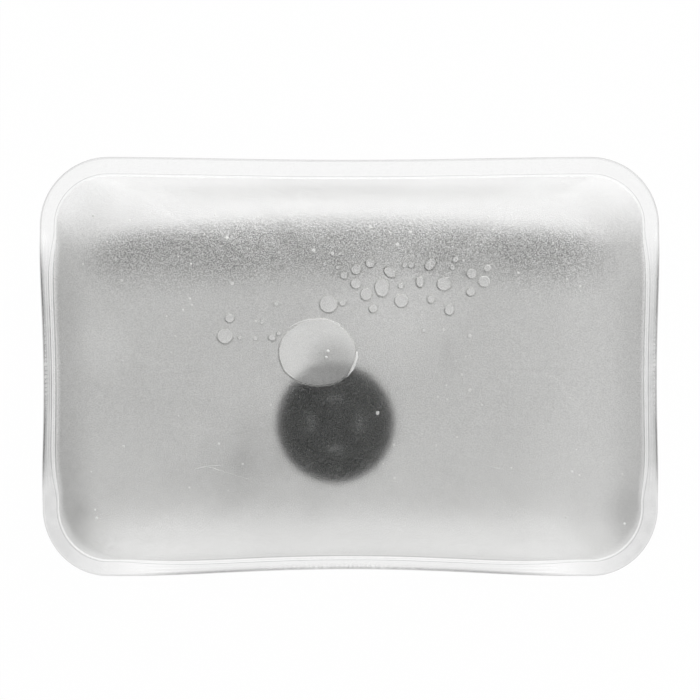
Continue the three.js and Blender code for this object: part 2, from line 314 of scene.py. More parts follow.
# Softboxes: place, width and height
FAR_SOFTBOX = ((0.14, 0.5, 0.32), 0.8, 0.72)
NEAR_SOFTBOX = ((0, -0.55, 0.28), 0.9, 0.6)

# Rays that show what lies behind the pouch, and the studio's own colour
SEEN_RAYS = ("Is Camera Ray", "Is Glossy Ray", "Is Transmission Ray")
WHITE = (1, 1, 1)

# How far up or along a way points where the room goes over to its dark ceiling and dark ends
CEILING_RISE = (0.5, 0.85)
ROOM_ENDS = (0.75, 0.35)


def settings():
    """The hand warmer's settings in this scene."""
    return bpy.context.scene.hand_warmer


class PouchSettings(bpy.types.PropertyGroup):
    """Shape of the filled pouch and its welded rim."""

    thickness: FloatProperty(
        name="Film thickness", description="Thickness of one film",
        default=0.4 * MM, unit="LENGTH", precision=5)
    seam_height: FloatProperty(
        name="Seam height", description="Height of the weld over the table",
        default=5.2 * MM, unit="LENGTH", precision=5)
    corner_radius: FloatProperty(
        name="Corner radius", description="Radius of the outline's corners",
        default=10.5 * MM, unit="LENGTH", precision=5)
    weld_width: FloatProperty(
        name="Weld width", description="Width of the flat welded rim",
        default=2.4 * MM, unit="LENGTH", precision=5)
    rest_margin: FloatProperty(
        name="Rest margin", description="From the weld in to where the underside lies flat",
        default=8.5 * MM, unit="LENGTH", precision=5)
    front_fullness: FloatProperty(
        name="Front fullness", description="How soon the upper film levels out", default=4.5)
    back_fullness: FloatProperty(
        name="Back fullness", description="How soon the back film levels out", default=2.2)
    pinches: FloatVectorProperty(
        name="Pinches", description="How far each side is drawn in: +X, +Y, -X, -Y",
        size=4, default=(0.45 * MM, 0.45 * MM, 0.6 * MM, 1.2 * MM), unit="LENGTH", precision=5)
    curls: FloatVectorProperty(
        name="Curls", description="How far the rim curls up at each side: +X, +Y, -X, -Y",
        size=4, default=tuple(math.radians(a) for a in (48, 0, 52, 44)), subtype="NONE")
    far_weld: FloatProperty(
        name="Far weld", description="How much wider the weld is along the far edge",
        default=0.44 * MM, unit="LENGTH", precision=5)
    leans: FloatVectorProperty(
        name="Leans", description="How far the sides +X and -X lean in at the near corners",
        size=2, default=(0.2 * MM, 0.42 * MM), unit="LENGTH", precision=5)
    pinch_fade: FloatProperty(
        name="Pinch fade", description="Distance over which the drawn-in sides fade out",
        default=14 * MM, unit="LENGTH", precision=5)
    waver: FloatProperty(
        name="Waver", description="How unevenly the upper film rises from its weld",
        default=0.08, min=0, max=0.3)


class FilmSettings(bpy.types.PropertyGroup):
    """Finish of the embossed clear film."""

    tint: FloatVectorProperty(
        name="Film tint", description="Colour of light that passes a face of the film",
        subtype="COLOR", size=3, default=(0.99, 0.99, 0.989))
    edge_tint: FloatVectorProperty(
        name="Edge tint", description="Colour of light that passes the film edge on",
        subtype="COLOR", size=3, default=(0.3, 0.3, 0.298))
    gloss_roughness: FloatProperty(
        name="Gloss roughness", description="Roughness of the film's sheen", default=0.13)
    gloss: FloatProperty(
        name="Gloss", description="Share of light that the film reflects head on",
        default=0.055, min=0, max=1)
    grain: FloatProperty(
        name="Emboss grain", description="Size of the emboss grain",
        default=0.17 * MM, unit="LENGTH", precision=5)
    grain_depth: FloatProperty(
        name="Emboss depth", description="Depth of the emboss grain",
        default=0.04 * MM, unit="LENGTH", precision=6)
    grain_shade: FloatProperty(
        name="Emboss shade", description="How much light the emboss grain holds back",
        default=0.17, min=0, max=1)
    # The extra hold near the far edge is painted shade, for the far softbox raking the grain.
    streak_grain_shade: FloatProperty(
        name="Far grain", description="How much more the grain holds back near the far edge",
        default=0.47, min=0, max=1)
    sparkle: FloatProperty(
        name="Sparkle", description="How much the grain breaks up the film's sheen",
        default=0.9, min=0, max=1)
    scatter: FloatProperty(
        name="Scatter", description="Share of light that the crests of the grain scatter",
        default=0.034, min=0, max=1)
    # Darkens the weld towards the near corners.
    corner_darkening: FloatProperty(
        name="Weld haze", description="How much light the weld holds back at the near corners",
        default=0.125, min=0, max=1)
    weld_tint: FloatVectorProperty(
        name="Weld tint", description="Colour of light that passes a face of the weld",
        subtype="COLOR", size=3, default=(0.992, 0.992, 0.992))
    weld_edge_tint: FloatVectorProperty(
        name="Weld edge tint", description="Colour of light that passes the weld edge on",
        subtype="COLOR", size=3, default=(0.1, 0.1, 0.1))
    weld_gloss: FloatProperty(
        name="Weld gloss", description="Share of light that the weld reflects head on",
        default=0.02, min=0, max=1)
    cut_tint: FloatVectorProperty(
        name="Cut tint", description="Colour of light that passes the weld's cut edge",
        subtype="COLOR", size=3, default=(0.92, 0.92, 0.92))
    cut_edge_tint: FloatVectorProperty(
        name="Cut edge tint", description="Colour of light that passes the cut edge edge on",
        subtype="COLOR", size=3, default=(0.68, 0.68, 0.68))
    wet_gloss: FloatProperty(
        name="Wet gloss", description="Share of light that a wetted face reflects head on",
        default=0.004, min=0, max=1)


class SolutionSettings(bpy.types.PropertyGroup):
    """Finish of the salt solution as it shows through the film."""

    tint: FloatVectorProperty(
        name="Solution tint", description="Colour of light that passes the solution",
        subtype="COLOR", size=3, default=(0.63, 0.63, 0.623))
    # Also the colour of the painted shade in the far streak, the two ends and some spots.
    deep_and_painted_shade_tint: FloatVectorProperty(
        name="Deep tint", description="Colour of light that passes the densest solution",
        subtype="COLOR", size=3, default=(0.45, 0.45, 0.445))
    # Also the colour of the painted light along the far and near edges and the right side.
    thin_and_painted_light_tint: FloatVectorProperty(
        name="Thin tint", description="Colour of light that passes the thin far edge",
        subtype="COLOR", size=3, default=(1.0, 1.0, 1.0))
    shadow_tint: FloatVectorProperty(
        name="Shadow tint", description="Colour of lamp light that passes the solution",
        subtype="COLOR", size=3, default=(0.66, 0.66, 0.653))
    wedge: FloatProperty(
        name="Wedge", description="How much clearer the solution is where it ends at the weld",
        default=0.78, min=0, max=1)
    wedge_rise: FloatProperty(
        name="Wedge rise", description="Height over the weld up to which the wedge reaches",
        default=1.2 * MM, unit="LENGTH", precision=5)
    blur: FloatProperty(
        name="Blur", description="How much the embossed film blurs what lies below",
        default=0.84)
    steep_blur: FloatProperty(
        name="Steep blur", description="How much the solution's steep and under sides blur",
        default=1.0, min=0, max=1)
    jitter: FloatProperty(
        name="Jitter", description="Depth of the wetted emboss, for each unit of the dry one's",
        default=1.3)
    index: FloatProperty(
        name="Bend", description="How strongly the solution bends light", default=1.09)
    clearance: FloatProperty(
        name="Clearance", description="Gap between solution and film",
        default=0.02 * MM, unit="LENGTH", precision=6)


class BubbleSettings(bpy.types.PropertyGroup):
    """Air bubbles against the upper film."""

    milk: FloatVectorProperty(
        name="Bubble colour", description="Colour of the dry film over a bubble",
        subtype="COLOR", size=3, default=(0.95, 0.95, 0.94))
    milkiness: FloatProperty(
        name="Milkiness", description="Share of light that the dry film scatters",
        default=0.36, min=0, max=1)
    small_milkiness: FloatProperty(
        name="Small milkiness", description="Share of light scattered over a small bubble",
        default=0.17, min=0, max=1)
    rim_milkiness: FloatProperty(
        name="Rim milkiness", description="Share of light scattered by a bubble's rim",
        default=0.42, min=0, max=1)
    # The lit and shaded sides of a rim are painted light and painted shade.
    glint: FloatProperty(
        name="Rim glint", description="Share of light that the lit side of a rim scatters",
        default=0.75, min=0, max=1)
    rim_tint: FloatVectorProperty(
        name="Rim shade", description="Colour of light that passes the shaded side of a rim",
        subtype="COLOR", size=3, default=(0.5, 0.5, 0.495))
    edge_tint: FloatVectorProperty(
        name="Bubble edge tint", description="Colour of light that passes a bubble's edge",
        subtype="COLOR", size=3, default=(0.93, 0.93, 0.925))
    room_tint: FloatVectorProperty(
        name="Room tint", description="Colour of light that passes under the large bubble",
        subtype="COLOR", size=3, default=(0.97, 0.97, 0.963))
    small_room_tint: FloatVectorProperty(
        name="Small room tint", description="Colour of light that passes under a small bubble",
        subtype="COLOR", size=3, default=(0.86, 0.86, 0.852))
    # The disc's bent image is painted into the tint under the large bubble.
    bent_tint: FloatVectorProperty(
        name="Bent image tint", description="Colour of light from the disc's bent image",
        subtype="COLOR", size=3, default=(0.3, 0.3, 0.298))
    room_blur: FloatProperty(
        name="Room blur", description="How much the face under a bubble blurs what lies below",
        default=0.5)
    room_index: FloatProperty(
        name="Room bend", description="How strongly the face under a bubble bends light",
        default=1.4)
    shoulder: FloatProperty(
        name="Shoulder", description="Radius of the edge between bubble and film",
        default=0.25 * MM, unit="LENGTH", precision=5)
    depth: FloatProperty(
        name="Large bubble depth", description="How far the large bubble reaches down",
        default=2.6 * MM, unit="LENGTH", precision=5)
    small_depth: FloatProperty(
        name="Small bubble depth", description="A small bubble's depth for each unit of radius",
        default=0.4)
    turns: IntProperty(name="Segments", description="Segments round a bubble", default=48)
    specks: IntProperty(name="Specks", description="Number of tiny bright specks", default=70)


class DiscSettings(bpy.types.PropertyGroup):
    """Finish of the spring-steel clicker disc."""

    # Far darker than bare steel: painted shade for the dark surroundings that the disc
    # reflects.
    steel: FloatVectorProperty(
        name="Steel colour", description="Colour of the spring steel",
        subtype="COLOR", size=3, default=(0.055, 0.055, 0.0543))
    roughness: FloatProperty(
        name="Steel roughness", description="Roughness of the rolled steel", default=0.6)


class StageSettings(bpy.types.PropertyGroup):
    """Floor, lights and camera."""

    floor: FloatVectorProperty(
        name="Floor colour", description="Colour of the floor",
        subtype="COLOR", size=3, default=(0.96, 0.96, 0.96))
    floor_glow: FloatProperty(
        name="Floor glow", description="Share of plain white in the floor", default=0.985,
        min=0, max=1)
    floor_glow_through: FloatProperty(
        name="Floor glow through", description="Share of plain white seen through the pouch",
        default=0.6, min=0, max=1)
    key_power: FloatProperty(
        name="Key power", description="Power of the softbox beyond the far edge", default=4.5)
    fill_power: FloatProperty(
        name="Fill power", description="Power of the softbox before the near edge", default=1.6)
    ambient: FloatProperty(
        name="Ambient", description="Strength of the even light from all round", default=0.25)
    ceiling: FloatProperty(
        name="Ceiling", description="Brightness of the studio's ceiling in reflections",
        default=0.6, min=0, max=1)
    camera_height: FloatProperty(
        name="Camera height", description="Height of the camera over the table",
        default=0.9, unit="LENGTH")
    sensor_width: FloatProperty(
        name="Sensor width", description="Width of the camera's sensor", default=36.0)


class WarmerSettings(bpy.types.PropertyGroup):
    """Everything a user would change."""

    pouch: PointerProperty(type=PouchSettings)
    film: PointerProperty(type=FilmSettings)
    solution: PointerProperty(type=SolutionSettings)
    bubbles: PointerProperty(type=BubbleSettings)
    disc: PointerProperty(type=DiscSettings)
    stage: PointerProperty(type=StageSettings)


def place_of(pixel_x, pixel_y):
    """Place over the pouch, in metres, of a pixel of the photograph."""
    return (
        (pixel_x - OUTLINE_CENTRE[0]) * PIXEL,
        (OUTLINE_CENTRE[1] - pixel_y) * PIXEL,
    )


class PouchForm:
    """The filled pouch's surfaces, worked out round its outline and in from its weld."""

    CORNER_STEPS = 26
    SIDE_STEPS = (66, 110, 66, 110)
    ROUNDING = 0.45
    ROUNDEST = 0.9

    def __init__(self, pouch):
        self.film = pouch.thickness
        self.seam = pouch.seam_height
        self.weld = pouch.weld_width
        self.half = np.array([FRONT_HIGH[0], FRONT_HIGH[1]]) - self.weld
        self.radius = pouch.corner_radius - self.weld
        self.fade = pouch.pinch_fade
        self.unevenness = pouch.waver
        rise = FRONT_HIGH[2] - self.seam - self.film
        drop = self.seam - BACK_LOW[2] - self.film
        self.front = (1, rise, self.half[1], pouch.front_fullness)
        self.back = (-1, drop, pouch.rest_margin, pouch.back_fullness)
        self._stations(pouch)

    def _stations(self, pouch):
        """Ways out, corner centres, pinches and curls round the outline, from +X on."""
        out, centre, pinch, curl = [], [], [], []
        for side, steps in enumerate(self.SIDE_STEPS):
            facing = side * math.pi / 2
            way = np.array([math.cos(facing), math.sin(facing)])
            along = np.array([-way[1], way[0]])
            for step in range(steps + 1):
                place = 2 * step / steps - 1
                out.append(way)
                centre.append(way + along * place)
                pinch.append(pouch.pinches[side] * (1 - place ** 2) ** 2)
                curl.append(pouch.curls[side] * (1 - place ** 8) ** 2)
            for step in range(1, self.CORNER_STEPS):
                angle = facing + math.pi / 2 * step / self.CORNER_STEPS
                out.append(np.array([math.cos(angle), math.sin(angle)]))
                centre.append(way + along)
                pinch.append(0)
                curl.append(0)
        self.out = np.array(out)
        self.centre = np.array(centre)
        self.pinch = np.array(pinch, dtype=float)
        self.curl = np.array(curl)
        near = np.clip((0.5 - self.centre[:, 1]) / 1.5, 0, 1)
        near = near ** 2 * (3 - 2 * near)
        for way, lean in zip((1, -1), pouch.leans):
            self.pinch += lean * near * np.maximum(way * self.out[:, 0], 0) ** 2
        self.extra = pouch.far_weld * np.maximum(self.out[:, 1], 0) ** 2
        self.shift = self.pinch - self.weld * (1 - np.cos(self.curl))
        self.waver = self.unevenness * self.swing(self.centre[:, 0], self.centre[:, 1])

    @staticmethod
    def swing(across, along):
        """Slow swing between -1 and 1 round the outline."""
        return (
            0.5 * np.sin(6.1 * across + 1.7 * along + 0.9)
            + 0.3 * np.sin(13.7 * across - 2.9 * along + 2.2)
            + 0.2 * np.sin(23.3 * across + 5.3 * along + 4.1)
        )

    def _rectangle(self, half, radius):
        """Rounded rectangle of a half size and a corner radius."""
        return self.centre * (half - radius) + self.out * radius

    def _corner(self, inward):
        """Radius of the corners a distance in from the weld."""
        return min(self.radius + self.ROUNDING * inward,
                   self.ROUNDEST * (self.half[1] - inward))

    def rim_ring(self, outward, above):
        """Ring on the rim, out from the weld's inner edge and above the seam's plane."""
        sine, cosine = np.sin(self.curl), np.cos(self.curl)
        inset = self.shift - outward * cosine + above * sine
        inset = inset + self.extra * (1 - outward / self.weld)
        plan = self._rectangle(self.half, self.radius) - self.out * inset[:, None]
        height = self.seam + outward * sine + above * cosine
        return np.column_stack([plan, height])

    def wall_ring(self, wall, distance, offset):
        """Ring alongside a film's inner face, offset towards the fill."""
        side, rise, run, fullness = wall
        left = 1 - min(distance / run, 1)
        tilt = math.atan(rise * fullness * left ** (fullness - 1) / run)
        inward = distance + offset * math.sin(tilt)
        sooner = 1 + self.waver * (side > 0)
        uneven = 1 - np.minimum(distance * sooner / run, 1)
        reach = rise * (1 - uneven ** fullness) - offset * math.cos(tilt)
        fade = max(1 - inward / self.fade, 0) ** 2
        drawn_in = (self.shift + self.extra) * fade
        plan = self._rectangle(self.half - inward, self._corner(inward))
        plan = plan - self.out * drawn_in[:, None]
        return np.column_stack([plan, self.seam + side * reach])

    def wall_rings(self, wall, offset, distances):
        """Rings alongside a film's inner face at several distances in from the weld."""
        return [self.wall_ring(wall, distance, offset) for distance in distances]

    def middle(self, wall, offset):
        """Middle point alongside a film's inner face."""
        side, rise = wall[:2]
        return np.array([0, 0, self.seam + side * (rise - offset)])

    def height_at(self, x, y, offset):
        """Height of a face alongside the upper film's inner face, near the pouch's middle."""
        side, rise, run, fullness = self.front
        spare = self.half - np.abs((x, y))
        distance = min(spare)
        straight = self.half - distance - self._corner(distance)
        across = max(-1, min(x / straight[0], 1))
        along = max(-1, min(y / straight[1], 1))
        if spare[1] < spare[0]:
            along = math.copysign(1, y)
        else:
            across = math.copysign(1, x)
        sooner = 1 + self.unevenness * self.swing(across, along)
        left = 1 - min(distance * sooner / run, 1)
        return self.seam + rise * (1 - left ** fullness) - offset


def wall_distances(form, first, count):
    """Distances in from the weld, from the first on, that crowd towards the weld."""
    reach = WALL_END * form.half[1] - first
    return [first + reach * (step / (count - 1)) ** CROWDING for step in range(count)]


def closed_faces(rings, count):
    """Faces of a closed mesh through rings of points, from one middle point to another."""
    faces = []
    end = 1 + (rings - 1) * count
    for step in range(count):
        after = (step + 1) % count
        faces.append((0, 1 + step, 1 + after))
        for upper in range(1, end, count):
            lower = upper + count
            faces.append((upper + step, lower + step, lower + after, upper + after))
        faces.append((end + step, end + count, end + after))
    return faces


def new_piece(name, points, faces, finishes=None):
    """Smooth mesh as an object in the scene, with a finish for each face where given."""
    mesh = bpy.data.meshes.new(name)
    mesh.from_pydata(points, [], faces)
    mesh.shade_smooth()
    if finishes is not None:
        mesh.polygons.foreach_set("material_index", finishes)
    piece = bpy.data.objects.new(name, mesh)
    bpy.context.collection.objects.link(piece)
    return piece


def lofted(name, first, rings, last, turn, breaks=()):
    """Closed piece through rings of points, from one middle point to another.

    The finish changes after each ring that breaks names.
    """
    count = len(rings[0])
    points = np.vstack([first[None, :], *rings, last[None, :]])
    faces = closed_faces(len(rings), count)
    if turn < 0:
        faces = [face[::-1] for face in faces]
    finish = np.zeros(len(rings) + 1, dtype=np.int32)
    for ring in breaks:
        finish[ring + 1:] += 1
    return new_piece(name, points.tolist(), faces, np.tile(finish, count))


class Shader:
    """Short forms for building the nodes of a material or a world."""

    def __init__(self, subject):
        output = "ShaderNodeOutputWorld"
        if isinstance(subject, str):
            subject = bpy.data.materials.new(subject)
            subject.use_nodes = True
            output = "ShaderNodeOutputMaterial"
        self.material = subject
        self.nodes = subject.node_tree.nodes
        self.links = subject.node_tree.links
        self.nodes.clear()
        self.output = self.nodes.new(output)

    def node(self, kind, **values):
        """New node, with attributes and input sockets set by name."""
        made = self.nodes.new("ShaderNode" + kind)
        for key, value in values.items():
            label = key.replace("_", " ")
            if hasattr(made, key):
                setattr(made, key, value)
            else:
                made.inputs[label].default_value = value
        return made

    def link(self, source, target):
        """Joins an output to an input."""
        self.links.new(source, target)

    def maths(self, operation, first, second=None):
        """Result of a sum on values or sockets."""
        made = self.node("Math", operation=operation)
        for index, value in enumerate((first, second)):
            if value is None:
                continue
            if isinstance(value, (int, float)):
                made.inputs[index].default_value = value
            else:
                self.link(value, made.inputs[index])
        return made.outputs[0]

    def product(self, first, *others):
        """Product of values or sockets, from the left."""
        for other in others:
            first = self.maths("MULTIPLY", first, other)
        return first

    def mix_shaders(self, factor, first, second):
        """Surface that goes from the first to the second as the factor rises."""
        made = self.node("MixShader")
        for index, source in enumerate((factor, first, second)):
            self.link(source, made.inputs[index])
        return made.outputs[0]

    def mix_colours(self, factor, first, second):
        """Colour that goes from the first to the second, each a colour or a socket."""
        made = self.node("Mix", data_type="RGBA", clamp_factor=True)
        self.link(factor, made.inputs["Factor"])
        for index, colour in ((6, first), (7, second)):
            if isinstance(colour, bpy.types.NodeSocket):
                self.link(colour, made.inputs[index])
            else:
                made.inputs[index].default_value = grey(colour)
        return made.outputs[2]

    def coloured(self, kind, colour, **values):
        """Output of a surface node of one kind and colour."""
        made = self.node(kind, **values)
        made.inputs["Color"].default_value = grey(colour)
        return made.outputs[0]

    def gloss(self, roughness, normal=None):
        """Glossy surface, on a bumped normal where one is given."""
        made = self.node("BsdfGlossy", Roughness=roughness)
        if normal is not None:
            self.link(normal, made.inputs["Normal"])
        return made.outputs[0]

    def noise(self, size, detail=2.0, stretch=(1, 1, 1)):
        """Noise in the object's own space with grains of about this size."""
        coordinates = self.node("TexCoord")
        mapping = self.node("Mapping")
        mapping.inputs["Scale"].default_value = stretch
        self.link(coordinates.outputs["Object"], mapping.inputs["Vector"])
        made = self.node("TexNoise", Scale=1 / size, Detail=detail, Roughness=0.5)
        self.link(mapping.outputs[0], made.inputs["Vector"])
        return made.outputs[0]

    def bump(self, height, distance):
        """Normal of a surface that the height raises by up to the distance."""
        made = self.node("Bump", Strength=1.0, Distance=distance)
        self.link(height, made.inputs["Height"])
        return made.outputs[0]

    def finish(self, surface):
        """Sets the surface and returns the material."""
        self.link(surface, self.output.inputs["Surface"])
        return self.material


def grey(colour):
    """Colour with the full opacity that a socket asks for."""
    return (*colour, 1.0)


def sheen_factor(shader, head_on, normal):
    """Share of light that a face reflects: least head on, all of it edge on."""
    facing = shader.node("LayerWeight", Blend=0.5)
    shader.link(normal, facing.inputs["Normal"])
    steep = shader.maths("POWER", facing.outputs["Facing"], 5.0)
    rest = shader.maths("MULTIPLY", steep, 1 - head_on)
    return shader.maths("ADD", rest, head_on)


def clear_tint(shader, head_on, edge_on, power, grain=None, shade=0.0):
    """Clear surface that is darker edge on and in the hollows of its grain."""
    facing = shader.node("LayerWeight", Blend=0.5)
    factor = shader.maths("POWER", facing.outputs["Facing"], power)
    if grain is not None:
        hollow = shader.maths("MULTIPLY", grain, shade)
        factor = shader.maths("ADD", factor, hollow)
    clear = shader.node("BsdfTransparent")
    shader.link(shader.mix_colours(factor, head_on, edge_on), clear.inputs["Color"])
    return clear.outputs[0]


def emboss(shader):
    """Grain of the embossed film."""
    return shader.noise(settings().film.grain, detail=1.5)


def glossed(shader, surface, roughness, factor, normal=None):
    """Surface under a sheen, whose share is the factor."""
    return shader.finish(shader.mix_shaders(factor, surface, shader.gloss(roughness, normal)))


def film_material():
    """Embossed clear film, whose grain scatters some light and breaks up its sheen."""
    film = settings().film
    shader = Shader("embossed clear film")
    grain = emboss(shader)
    normal = shader.bump(grain, film.grain_depth)
    axes = place_axes(shader)
    foot = ramp(shader, over_weld(shader, axes), *FOOT)
    foot = shader.maths("MULTIPLY", foot, near_corner_darkening(shader, axes))
    clear = clear_tint(shader, film.tint, film.edge_tint, FILM_POWER, foot, FOOT_DARKENING)
    milk = shader.coloured("BsdfDiffuse", settings().bubbles.milk)
    crests = ramp(shader, grain, 0.6, 0.4, 0.0, film.scatter)
    clear = shader.mix_shaders(crests, clear, milk)
    sparkle = ramp(shader, grain, *GRAIN_RISE, 1 + film.sparkle, 1 - film.sparkle)
    factor = shader.maths("MULTIPLY", sheen_factor(shader, film.gloss, normal), sparkle)
    return glossed(shader, clear, film.gloss_roughness, factor, normal)


def weld_material():
    """Welded rim, pressed smooth, with faint clouds, darker towards the near corners."""
    film = settings().film
    shader = Shader("pressed weld")
    cloud = shader.noise(WELD_CLOUDS)
    normal = shader.bump(cloud, CLOUD_DEPTH)
    uneven = ramp(shader, cloud, *NOISE_RISE, 0.85, 1.15)
    corner_darkening = shader.maths("MULTIPLY", near_corner_darkening(shader, place_axes(shader)), uneven)
    grain = ramp(shader, emboss(shader), *GRAIN_RISE, 0.0, WELD_GRAIN)
    corner_darkening = shader.maths("ADD", corner_darkening, grain)
    clear = clear_tint(
        shader, film.weld_tint, film.weld_edge_tint, WELD_POWER, corner_darkening, 1.0)
    factor = sheen_factor(shader, film.weld_gloss, normal)
    return glossed(shader, clear, WELD_ROUGHNESS, factor, normal)


def edge_material():
    """Cut outer edge of the weld, which shows as a thin grey line."""
    film = settings().film
    shader = Shader("cut film edge")
    cloud = shader.noise(CUT_CLOUDS)
    clear = clear_tint(
        shader, film.cut_tint, film.cut_edge_tint, CUT_POWER, cloud, CUT_SHADE)
    normal = shader.bump(cloud, CLOUD_DEPTH)
    factor = sheen_factor(shader, film.weld_gloss, normal)
    return glossed(shader, clear, CUT_ROUGHNESS, factor, normal)


def wet_film_material():
    """Face of the film that the solution wets, so that it hardly shows."""
    film = settings().film
    shader = Shader("wetted clear film")
    normal = shader.bump(emboss(shader), film.grain_depth * PLAIN_JITTER)
    clear = clear_tint(shader, film.tint, film.edge_tint, FILM_POWER)
    sheen = sheen_factor(shader, film.wet_gloss / WET_SHEEN, normal)
    factor = shader.maths("MULTIPLY", sheen, WET_SHEEN)
    return glossed(shader, clear, film.gloss_roughness, factor)


def ramp(shader, value, first, last, low=0.0, high=1.0, shape="SMOOTHSTEP"):
    """Change from low to high as a value goes from first to last, smooth or linear."""
    made = shader.node("MapRange", interpolation_type=shape)
    shader.link(value, made.inputs["Value"])
    limits = (("From Min", first), ("From Max", last), ("To Min", low), ("To Max", high))
    for name, limit in limits:
        made.inputs[name].default_value = limit
    return made.outputs["Result"]


def place_axes(shader, space="Object"):
    """Places across, along and up through the pouch or the room, as three values."""
    axes = shader.node("SeparateXYZ")
    shader.link(shader.node("TexCoord").outputs[space], axes.inputs[0])
    return axes.outputs["X"], axes.outputs["Y"], axes.outputs["Z"]


def over_weld(shader, axes):
    """Height over or under the weld."""
    above = shader.maths("SUBTRACT", axes[2], settings().pouch.seam_height)
    return shader.maths("ABSOLUTE", above)


def near_corner_darkening(shader, axes):
    """How much darker the weld is towards its near corners."""
    ends = ramp(shader, shader.maths("ABSOLUTE", axes[0]), *DARKENING_ENDS)
    near = ramp(shader, axes[1], *DARKENING_NEAR, 0.0, settings().film.corner_darkening)
    return shader.maths("MULTIPLY", ends, near)


def in_plan(shader, axes):
    """Place in the pouch's plane."""
    place = shader.node("CombineXYZ")
    shader.link(axes[0], place.inputs["X"])
    shader.link(axes[1], place.inputs["Y"])
    return place.outputs[0]


def distance_from(shader, place, pixel_x, pixel_y):
    """Distance of a place in the pouch's plane from a pixel of the photograph."""
    away = shader.node("VectorMath", operation="DISTANCE")
    shader.link(place, away.inputs[0])
    away.inputs[1].default_value = (*place_of(pixel_x, pixel_y), 0)
    return away.outputs["Value"]


def soft_spots(shader, axes, value, spots, sign=1):
    """Value plus or less the strength of soft round spots in the pouch's plane."""
    place = in_plan(shader, axes)
    for pixel_x, pixel_y, radius, strength in spots:
        away = distance_from(shader, place, pixel_x, pixel_y)
        spot = ramp(shader, away, radius * PIXEL, 0, 0.0, sign * strength)
        value = shader.maths("ADD", value, spot)
    return value


def bowed(shader, axes):
    """Place along the pouch's width, in lines that bow out towards the far edge."""
    across, along = axes[:2]
    bow = shader.maths("SUBTRACT", shader.product(across, across, BOW), BOW_START)
    return shader.maths("ADD", along, bow)


def painted_shade_streak(shader, axes):
    """Long streak of painted shade inside the far edge, with soft ends."""
    across, along = axes[:2]
    size, height = SWAY
    sway = shader.maths("MULTIPLY", shader.noise(size), height)
    return shader.product(
        ramp(shader, shader.maths("ADD", along, sway), *STREAK_START),
        ramp(shader, bowed(shader, axes), *STREAK_END),
        ramp(shader, shader.maths("ABSOLUTE", across), *STREAK_ENDS),
        soft_spots(shader, axes, 1.0, STREAK_GAPS, -1))


def far_painted_light(shader, axes):
    """Lighter far edge, partly thin solution, partly painted light, less some painted shade."""
    across, along = axes[:2]
    outward = shader.maths("ABSOLUTE", across)
    middle = shader.product(
        ramp(shader, bowed(shader, axes), *FAR_BRIGHT), ramp(shader, along, *FAR_WHITE))
    shade = shader.product(
        ramp(shader, along, *FAR_SHADE_START), ramp(shader, along, *FAR_SHADE_END),
        ramp(shader, outward, *FAR_SHADE_ENDS))
    middle = shader.maths("SUBTRACT", middle, shade)
    corner = ramp(shader, along, *FAR_CORNER)
    between = shader.node("Mix", data_type="FLOAT")
    shares = ((ramp(shader, outward, *FAR_CORNER_ENDS), 0), (middle, 2), (corner, 3))
    for source, socket in shares:
        shader.link(source, between.inputs[socket])
    return soft_spots(shader, axes, between.outputs[0], CORNER_SHADES, -1)


def thin_edges_and_painted_light(shader, axes):
    """Thin wedge at the weld and painted light: most along the far edge, less at the others."""
    across, along = axes[:2]
    outward = shader.maths("ABSOLUTE", across)
    # Painted light along the near edge, partly also its thinner solution, and on the right
    # side.
    near = shader.maths(
        "ADD", ramp(shader, along, *NEAR_BRIGHT), ramp(shader, along, *NEAR_EDGE))
    near = shader.product(near, ramp(shader, outward, *NEAR_BRIGHT_ENDS))
    near = shader.maths("MAXIMUM", near, ramp(shader, across, *RIGHT_BRIGHT))
    solution = settings().solution
    wedge = shader.product(
        ramp(shader, over_weld(shader, axes), solution.wedge_rise, 0.1 * MM, 0.0,
             solution.wedge),
        ramp(shader, along, *NEAR_WEDGE))
    near = shader.maths("MAXIMUM", near, wedge)
    near = soft_spots(shader, axes, near, LIGHT_CLOUDS)
    return shader.maths("MAXIMUM", far_painted_light(shader, axes), near)


def clouds_and_painted_shade(shader, axes):
    """Darker tint: clouds, mottle, and painted shade in the far streak, ends and some spots."""
    across, along = axes[:2]
    size, *added = CLOUDS
    clouds = shader.noise(size, detail=3.0, stretch=CLOUD_STRETCH)
    cloud_and_shade = ramp(shader, clouds, 0.35, 0.75, *added)
    # The far streak is painted shade.
    streak = shader.maths("MULTIPLY", painted_shade_streak(shader, axes), STREAK_SHARE)
    cloud_and_shade = shader.maths("ADD", cloud_and_shade, streak)
    size, *added = MOTTLE
    mottle = ramp(shader, shader.noise(size), *GRAIN_RISE, *added)
    cloud_and_shade = shader.maths("ADD", cloud_and_shade, mottle)
    # Painted shade at the left and right ends, from the far half on towards the near edge.
    ends = shader.maths(
        "ADD", ramp(shader, across, *LEFT_DARK), ramp(shader, across, *RIGHT_DARK))
    depth = shader.maths(
        "ADD", ramp(shader, along, *ENDS_START), ramp(shader, along, *ENDS_DARKEN))
    cloud_and_shade = shader.maths("ADD", cloud_and_shade, shader.product(ends, depth))
    return soft_spots(shader, axes, cloud_and_shade, SPOTS_AND_PAINTED_SHADE)


def solution_tint(shader, axes):
    """Tint: darker in clouds and painted shade, lighter at thin edges and in painted light."""
    solution = settings().solution
    body = shader.mix_colours(
        clouds_and_painted_shade(shader, axes), solution.tint, solution.deep_and_painted_shade_tint)
    return shader.mix_colours(thin_edges_and_painted_light(shader, axes), body, solution.thin_and_painted_light_tint)


